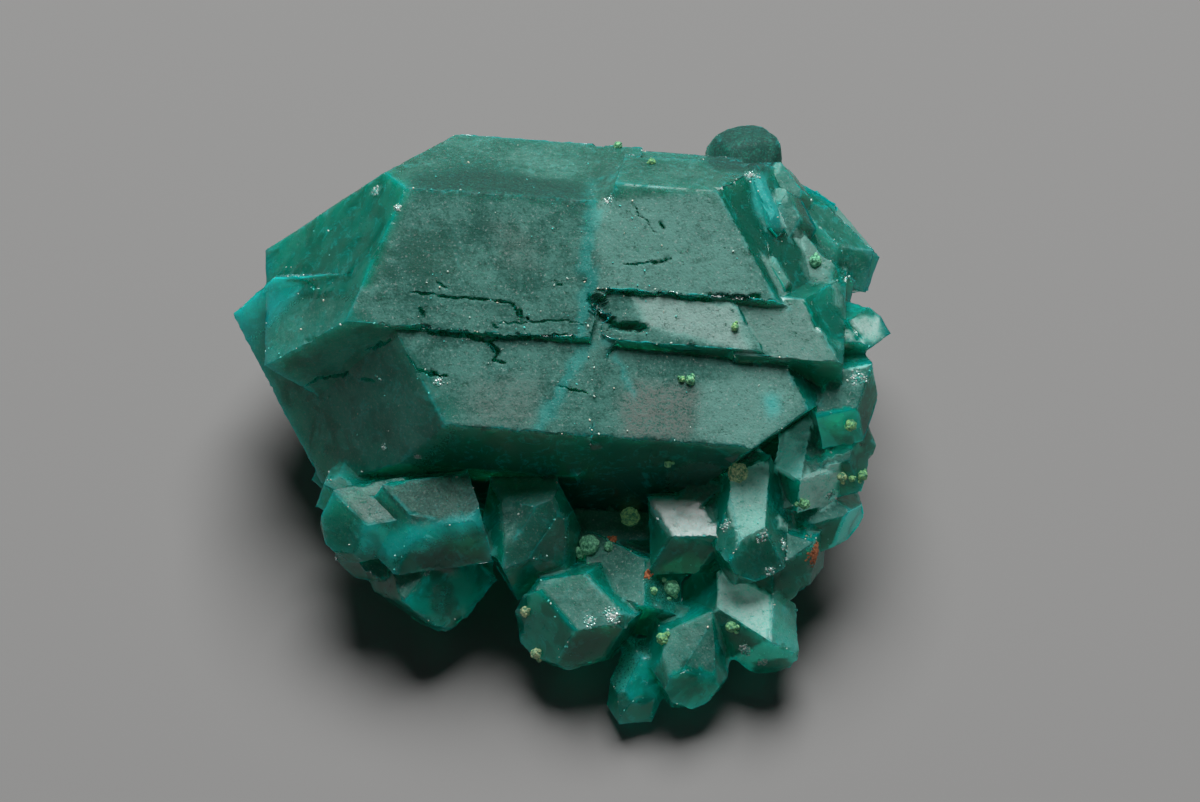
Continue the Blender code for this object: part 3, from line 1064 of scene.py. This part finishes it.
def crystal_finish():
    """Clear green crystal under a dusty bloom, mixed by how much dust each point carries."""
    finish = Finish("dioptase_crystal")
    place = finish.place()
    thin = finish.stored("thin")
    dust, pale, grey, gloss, glow, turquoise = (finish.stored(name) for name in LOOKS)
    slanted = finish.stretched(place, SLANTED_STREAKS, STREAK_TURN)
    level = finish.stretched(place, LEVEL_STREAKS)
    patches = finish.noise(place, 0.55, 6.0, 0.6)
    blotches = finish.noise(place, 2.6, 6.0, 0.74)
    streaks = finish.noise(slanted, 7.0, 4.0, 0.65) * 0.5 + finish.noise(level, 6.0, 4.0, 0.65) * 0.5
    stipple = finish.noise(place, 12.0, 3.0, 0.65)
    rough = stipple * 0.55 + streaks * 0.45
    flecks = finish.noise(place, 10.0, 2.0, 0.6).between(0.60, 0.68)
    pits = finish.noise(place, 4.5, 4.0, 0.7).between(0.60, 0.68)
    veil = finish.noise(place, 0.8, 4.0, 0.6, 0.8)
    breaks = (1.0 - veil.gap(0.5) * 28.0).clamped() * blotches.between(0.42, 0.6)
    depths = 0.45 + veil.between(0.34, 0.66) * 0.9

    tone = patches * 0.35 + blotches * 0.25 + rough * 0.4 + pale * 0.09
    # The bloom's colour: real dust tones, and by the pale value painted light, white painted highlight above
    # 1 and dark painted shade below 0.
    dust_and_painted_light = finish.mixed(tone.between(0.41, 0.57), GREEN_DUST, TEAL_DUST)
    dust_and_painted_light = finish.mixed((pale * (0.5 + tone)).clamped(), dust_and_painted_light, PALE_DUST_AND_PAINTED_LIGHT)
    dust_and_painted_light = finish.mixed(flecks * 0.35, dust_and_painted_light, WHITE_DUST_AND_PAINTED_HIGHLIGHT)
    dust_and_painted_light = finish.mixed(((pale + 0.5) * -0.6).clamped(), dust_and_painted_light, DARK_PAINTED_SHADE)
    dust_and_painted_light = finish.mixed(((pale - 1.0) * (0.4 + rough)).clamped(), dust_and_painted_light, WHITE_DUST_AND_PAINTED_HIGHLIGHT)
    dust_and_painted_light = finish.mixed((grey * rough.between(0.38, 0.56)).clamped(), dust_and_painted_light, GREY_DUST)
    dust_and_painted_light = finish.mixed(turquoise * 0.5, dust_and_painted_light, TURQUOISE)
    # Painted light: the body is lighter and more turquoise where the crystal is thin, where glow is given
    # and along breaks, standing in for light shining through.
    body = finish.mixed(((thin * 1.6 + glow * 0.8) * depths).clamped(), DEEP_GREEN, VIVID_GREEN)
    body = finish.mixed((thin**2.0 * 0.7 + turquoise * 0.8 + breaks * 0.35).clamped(), body, TURQUOISE)
    # Painted glow: emission where glow is given, where the crystal is thin and along breaks.
    lit = (((glow * 0.8 + thin**2.0 * 0.6) * depths) + breaks * 0.15).clamped()
    cover = (dust + dust * ((rough - 0.5) * 3.4 + (blotches - 0.5) * 1.6) - pits * 0.6).clamped()

    both = {
        "IOR": CRYSTAL_IOR,
        "Coat Weight": gloss,
        "Coat IOR": COAT_IOR,
        "Normal": finish.bump(rough * (0.12 + dust) - pits * 0.4, 0.6, 0.06),
    }
    crystal = {
        "Base Color": body,
        "Roughness": (0.12 + stipple * 0.2 + dust * 0.45).clamped(),
        "Specular IOR Level": 0.12,
        "Transmission Weight": 0.6,
        "Subsurface Weight": 1.0,
        "Subsurface Radius": (0.05, 1.0, 0.85),
        "Subsurface Scale": 0.003,
        "Coat Roughness": 0.24,
        # Painted glow from inside the crystal.
        "Emission Color": finish.mixed(lit, BLACK, body),
        "Emission Strength": 0.13,
    }
    bloom = {
        "Base Color": dust_and_painted_light,
        "Roughness": 0.8,
        "Specular IOR Level": 0.08,
        "Transmission Weight": 0.4,
        "Coat Roughness": 0.35,
        # Painted glow: the dust lights itself where glow is given, lifting pale faces that lie in shade.
        "Emission Color": finish.mixed((glow * depths).clamped(), BLACK, dust_and_painted_light),
        "Emission Strength": 0.14,
    }
    layers = {0: cover * MOST_BLOOM, 1: finish.shader(crystal | both), 2: finish.shader(bloom | both)}
    depth_colour = {"Color": INSIDE_COLOUR, "Density": INSIDE_DENSITY}
    return finish.done(
        Surface=finish.node("ShaderNodeMixShader", {}, layers),
        Volume=finish.node("ShaderNodeVolumeAbsorption", {}, depth_colour),
    )


def in_outline(points, outline):
    """Whether each point shows inside an outline of pixels."""
    x, y = pixels_of(points).T
    inside = np.zeros(len(points), bool)
    for (x0, y0), (x1, y1) in zip(outline, outline[1:] + outline[:1]):
        crosses = (y0 > y) != (y1 > y)
        inside ^= crosses & (x < (x1 - x0) * (y - y0) / ((y1 - y0) or LEVEL_SIDE) + x0)
    return inside


def zone_share(surface, zone):
    """From 0 to 1, how much each point belongs to a zone."""
    seen = surface.facing(TO_CAMERA) > SEEN_FACING
    inside = in_outline(surface.points, zone.outline) & seen & (surface.points[:, 2] > zone.lowest)
    return surface.soften(inside.astype(float), zone.softness)


def worn_surface(solid, tree, lines):
    """The divided solid with its low steps eased and some of its corners rounded."""
    ridge_cells = cells_round(ridge_points(solid), RIDGE_REACH)
    crack_cells = cells_round(np.concatenate(lines), CRACK_REACH)
    surface = Surface(*divided(*mesh_arrays(solid), ridge_cells, crack_cells))
    ease_seams(surface, tree)
    round_corners(surface, tree)
    return Surface(surface.points, surface.triangles)


def healed_share(surface, tree):
    """Where old breaks have healed with brighter crystal."""
    share = np.zeros(len(surface.points))
    for trace in HEALED:
        distance = distance_to(surface.points, trace_points(tree, trace), 2 * trace.width)
        width = trace.width * (0.8 + 0.9 * grain(surface.points, HEALED_WIDTHS))
        share = np.maximum(share, fade(distance, np.maximum(width, THINNEST_BAND), SPOT_FADE))
    return share * smooth_step((surface.facing(TOP_FACE) - 0.94) / 0.04)


def face_share(surface, tree, face):
    """Which points belong to a crystal face."""
    hit, outward = (np.array(v) for v in under_pixel(tree, face.x, face.y))
    gaps = surface.points - hit
    flat = np.abs(gaps @ outward) < FACE_DEPTH
    return (flat & (surface.facing(outward) > FACE_TURN) & (lengths_of(gaps) < face.reach)).astype(float)


def spot_share(surface, tree, spot):
    """How much each point belongs to a round area."""
    centre = np.array(under_pixel(tree, spot.x, spot.y)[0])
    return fade(lengths_of(surface.points - centre), spot.radius, SPOT_FADE)


def surface_looks(surface, tree, lines):
    """The finish of each point: dust mostly by which way it faces, then each zone's and each face's own."""
    looks = {name: np.zeros(len(surface.points)) for name in LOOKS}
    looks["dust"] = smooth_step((surface.facing(DUST_FROM) - 0.70) / 0.22)
    parts = [(zone_share(surface, zone), zone.looks) for zone in ZONES]
    parts += [(face_share(surface, tree, face), face.looks) for face in FACES]
    parts.append((zone_share(surface, BRIGHT_SIDE), BRIGHT_SIDE.looks))
    parts += [(spot_share(surface, tree, spot), DRUSE_GROUND) for spot in DRUSE]
    for share, own in parts:
        for name, value in own.items():
            looks[name] = looks[name] * (1.0 - share) + value * share
    # Painted highlight: turquoise along the ridges.
    ridge = np.zeros(len(surface.points))
    ridge[surface.ridge] = smooth_step(0.6 + 1.6 * grain(surface.points[surface.ridge], RIDGE_LIGHTS))
    for share in (HEALED_SHINE * healed_share(surface, tree), RIDGE_SHINE * ridge):
        looks["turquoise"] = np.maximum(looks["turquoise"], share)
    opened = [distance_to(surface.points, line, 1.0) / trace.width for trace, line in zip(CRACKS, lines)]
    looks["dust"] *= 0.15 + 0.85 * smooth_step(1.6 * np.min(opened, axis=0) - 0.6)
    return looks


def build_crystals(solid, tree):
    """The crystals themselves. Gives their surface, and a tree of it to place the grains on."""
    lines = [trace_points(tree, crack) for crack in CRACKS]
    surface = worn_surface(solid, tree, lines)
    attributes = {"thin": thinness(surface), **surface_looks(surface, tree, lines)}
    stray_edges(surface, tree)
    wear_ridges(surface)
    cut_cracks(surface, lines)
    chip_ridges(surface)
    add_relief(surface)
    surface.points = inside_box(surface.points)
    mesh = finished_mesh("crystals", surface.points, surface.triangles, attributes)
    piece = add_piece("crystals", mesh, crystal_finish())
    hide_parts(NODE)
    return surface, surface.tree()


def add_grains(name, parts, material):
    """One piece of many grains, each given as its points, its triangles and its tone."""
    counts = [len(points) for points, _, _ in parts]
    starts = np.cumsum([0] + counts)
    points = np.concatenate([part[0] for part in parts])
    triangles = np.concatenate([part[1] + start for part, start in zip(parts, starts)])
    tones = np.repeat([part[2] for part in parts], counts)
    add_piece(name, finished_mesh(name, points, triangles, {"tone": tones}), material)


def ball(place, radius, rng, detail):
    """A lumpy ball as points and triangles."""
    bm = bmesh.new()
    bmesh.ops.create_icosphere(bm, subdivisions=detail, radius=1.0)
    points, triangles = mesh_arrays(bm)
    bm.free()
    lumps = grain(points, Lumps(*BALL_LUMPS, rng.uniform(0.0, FURTHEST_START)))
    return np.array(place) + points * (radius * (1.0 + BALL_UNEVENNESS * lumps))[:, None], triangles


def needle(place, outward, length, width, rng):
    """A tiny six-sided crystal with a pointed end, standing on the surface."""
    turn = outward.to_track_quat("Z", "X").to_matrix() @ Matrix.Rotation(rng.uniform(0, math.pi), 3, "Z")
    ring = [(math.cos(a) * width, math.sin(a) * width) for a in np.arange(6) * math.pi / 3]
    points = [(x, y, height * length) for height in NEEDLE_RINGS for x, y in ring]
    points += [(0, 0, length), (0, 0, NEEDLE_ROOT * length)]
    triangles = []
    for i in range(6):
        j = (i + 1) % 6
        triangles += [(i, j, j + 6), (i, j + 6, i + 6), (i + 6, j + 6, 12), (j, i, 13)]
    return np.array([place + turn @ Vector(p) for p in points]), np.array(triangles)


def scattered(skin, spot, count, rng):
    """Places on the skin round a spot, each with its outward direction and its share of the way out."""
    found = under_pixel(skin, spot.x, spot.y)
    for _ in range(count if found else 0):
        share = rng.random() ** SCATTER_POWER
        aside = Vector(rng.normal(size=3)).normalized() * spot.radius * share
        place, outward, _, _ = skin.find_nearest(found[0] + aside)
        yield place, outward, share


def leaning(outward, amount, rng):
    """A direction that leans at random from the outward one."""
    return (outward + Vector(rng.normal(0.0, amount, 3))).normalized()


def globule_finish():
    finish = Finish("globules")
    tone = finish.stored("tone")
    mottle = finish.noise(finish.place(), 9.0, 5.0, 0.7)
    colour = finish.mixed(tone.between(0.0, 0.5), GLOBULE_TEAL, GLOBULE_GREEN)
    colour = finish.mixed(tone.between(0.5, 1.0), colour, GLOBULE_YELLOW)
    # Colour mottle that follows the bump: darker in its hollows as painted shade and pale on its tips as
    # painted highlight.
    colour = finish.mixed(mottle.between(0.40, 0.62), GLOBULE_HOLLOWS, colour)
    colour = finish.mixed(mottle.between(0.62, 0.72), colour, GLOBULE_TIPS)
    sockets = {
        "Base Color": colour,
        "Roughness": 0.5,
        "Subsurface Weight": 0.3,
        "Subsurface Radius": (0.7, 1.0, 0.6),
        "Subsurface Scale": 0.0002,
        # Painted glow, lifting the globules out of shade.
        "Emission Color": colour,
        "Emission Strength": 0.1,
        "Normal": finish.bump(mottle, 0.9, 0.08),
    }
    return finish.done(Surface=finish.shader(sockets))


def build_globules(skin):
    """Small yellow-green balls of another mineral that sit on the crystals, with smaller ones beside."""
    rng = np.random.default_rng(SEED + 1)
    parts = []
    for spot in GLOBULES:
        found = under_pixel(skin, spot.x, spot.y)
        if found:
            tone = rng.random()
            middle = found[0] + found[1] * spot.radius * GLOBULE_RISE
            parts.append((*ball(middle, spot.radius, rng, 3), tone))
            around = Spot(spot.x, spot.y, spot.radius * BESIDE_REACH)
            for place, outward, _ in scattered(skin, around, rng.integers(*BESIDE_COUNT), rng):
                size = spot.radius * rng.uniform(*BESIDE_SIZES)
                parts.append((*ball(place + outward * size * BESIDE_RISE, size, rng, 2), tone))
    add_grains("globules", parts, globule_finish())


def druse_finish():
    finish = Finish("druse")
    colour = finish.mixed(finish.stored("tone").between(0.1, 0.9), DRUSE_TEAL, DRUSE_WHITE)
    sockets = {"Base Color": colour, "Roughness": 0.12, "IOR": CRYSTAL_IOR, "Transmission Weight": 0.45}
    return finish.done(Surface=finish.shader(sockets))


def build_druse(skin):
    """Patches of tiny sparkling crystals, as fine as sugar."""
    rng = np.random.default_rng(SEED + 2)
    parts = []
    for spot in DRUSE:
        count = int(DRUSE_DENSITY * spot.radius**2) + DRUSE_EXTRA
        for place, outward, share in scattered(skin, spot, count, rng):
            lean = leaning(outward, DRUSE_LEAN, rng)
            size = rng.uniform(*DRUSE_SIZES) * (1.2 - 0.6 * share)
            foot = place - outward * size * DRUSE_SUNK
            parts.append((*needle(foot, lean, size, size * DRUSE_WIDTH, rng), rng.random()))
    add_grains("sparkling_druse", parts, druse_finish())


def speck_finish():
    finish = Finish("specks")
    tone = finish.stored("tone")
    colour = finish.mixed(tone.between(0.45, 0.55), SPECK_TEAL, SPECK_PALE)
    colour = finish.mixed(tone.between(0.8, 0.85), colour, SPECK_CREAM)
    sockets = {"Base Color": colour, "Roughness": 0.35, "Specular IOR Level": 0.2}
    return finish.done(Surface=finish.shader(sockets))


def build_specks(surface):
    """Tiny crumbs that lie on the upper faces and along the edges."""
    rng = np.random.default_rng(SEED + 4)
    facing = surface.facing(DUST_FROM)
    faces = np.flatnonzero(facing > SPECK_FACING)
    edges = surface.ridge[facing[surface.ridge] > SPECK_EDGE_FACING]
    places = np.concatenate([rng.choice(faces, SPECKS_ON_FACES), rng.choice(edges, SPECKS_ON_EDGES)])
    parts = []
    for index in places:
        lean = leaning(Vector(surface.normals[index]), SPECK_LEAN, rng)
        size = part_way(SPECK_SIZES, rng.random() ** 2)
        place = Vector(surface.points[index])
        parts.append((*needle(place, lean, size, size * SPECK_WIDTH, rng), rng.random()))
    add_grains("specks", parts, speck_finish())


def crust_finish():
    finish = Finish("iron_crust")
    mottle = finish.noise(finish.place(), 5.0, 5.0, 0.65)
    colour = finish.mixed(mottle.between(0.35, 0.65), IRON_BROWN, IRON_ORANGE)
    sockets = {
        "Base Color": colour,
        "Roughness": 0.85,
        # Painted glow, lifting the crust out of shade.
        "Emission Color": colour,
        "Emission Strength": 0.05,
        "Normal": finish.bump(mottle, 0.8, 0.08),
    }
    return finish.done(Surface=finish.shader(sockets))


def build_crust(skin):
    """Orange-brown iron crust in a few hollows."""
    rng = np.random.default_rng(SEED + 3)
    parts = []
    for spot in CRUST:
        count = int(CRUST_DENSITY * spot.radius**2) + CRUST_EXTRA
        for place, outward, share in scattered(skin, spot, count, rng):
            size = rng.uniform(*CRUST_SIZES) * (1.25 - 0.7 * share)
            parts.append((*ball(place - outward * size * CRUST_SUNK, size, rng, 2), rng.random()))
    add_grains("iron_crust", parts, crust_finish())


def floor_finish():
    finish = Finish("floor")
    return finish.done(Surface=finish.shader({"Base Color": FLOOR_GREY, "Roughness": 0.9}))


def add_floor():
    mesh = bpy.data.meshes.new("floor")
    corners = [(x * FLOOR_REACH, y * FLOOR_REACH, 0) for x, y in ((-1, -1), (1, -1), (1, 1), (-1, 1))]
    mesh.from_pydata(corners, [], [(0, 1, 2, 3)])
    mesh.materials.append(floor_finish())
    linked("floor", mesh)


def add_studio():
    """A round window light from above and behind, and a dim even sky."""
    light = bpy.data.lights.new("window", "AREA")
    light.shape = "DISK"
    light.size = WINDOW_SIZE
    light.energy = WINDOW_POWER
    lamp = linked("window", light)
    lamp.location = WINDOW_PLACE
    lamp.rotation_euler = (-Vector(WINDOW_PLACE)).to_track_quat("-Z", "Y").to_euler()
    world = bpy.data.worlds.new("studio")
    world.use_nodes = True
    background = world.node_tree.nodes["Background"]
    background.inputs["Color"].default_value = SKY_COLOUR
    background.inputs["Strength"].default_value = SKY_STRENGTH
    bpy.context.scene.world = world
    bpy.context.scene.view_settings.view_transform = "Standard"


def add_camera():
    data = bpy.data.cameras.new("camera")
    data.sensor_width = SENSOR_WIDTH
    data.lens = SENSOR_WIDTH * CAMERA_DISTANCE / (PHOTO_WIDTH * PIXEL)
    data.clip_start = NEAREST_SEEN
    camera = linked("camera", data)
    eye, direction = pixel_ray(PHOTO_WIDTH / 2, PHOTO_HEIGHT / 2)
    camera.location = eye * MM
    camera.rotation_euler = direction.to_track_quat("-Z", "Y").to_euler()
    bpy.context.scene.camera = camera


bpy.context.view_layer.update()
noise.seed_set(SEED)
solid = faceted_solid(cad_solid())
tree = BVHTree.FromBMesh(solid)
worn, skin = build_crystals(solid, tree)
build_globules(skin)
build_druse(skin)
build_crust(skin)
build_specks(worn)
add_floor()
add_studio()
add_camera()
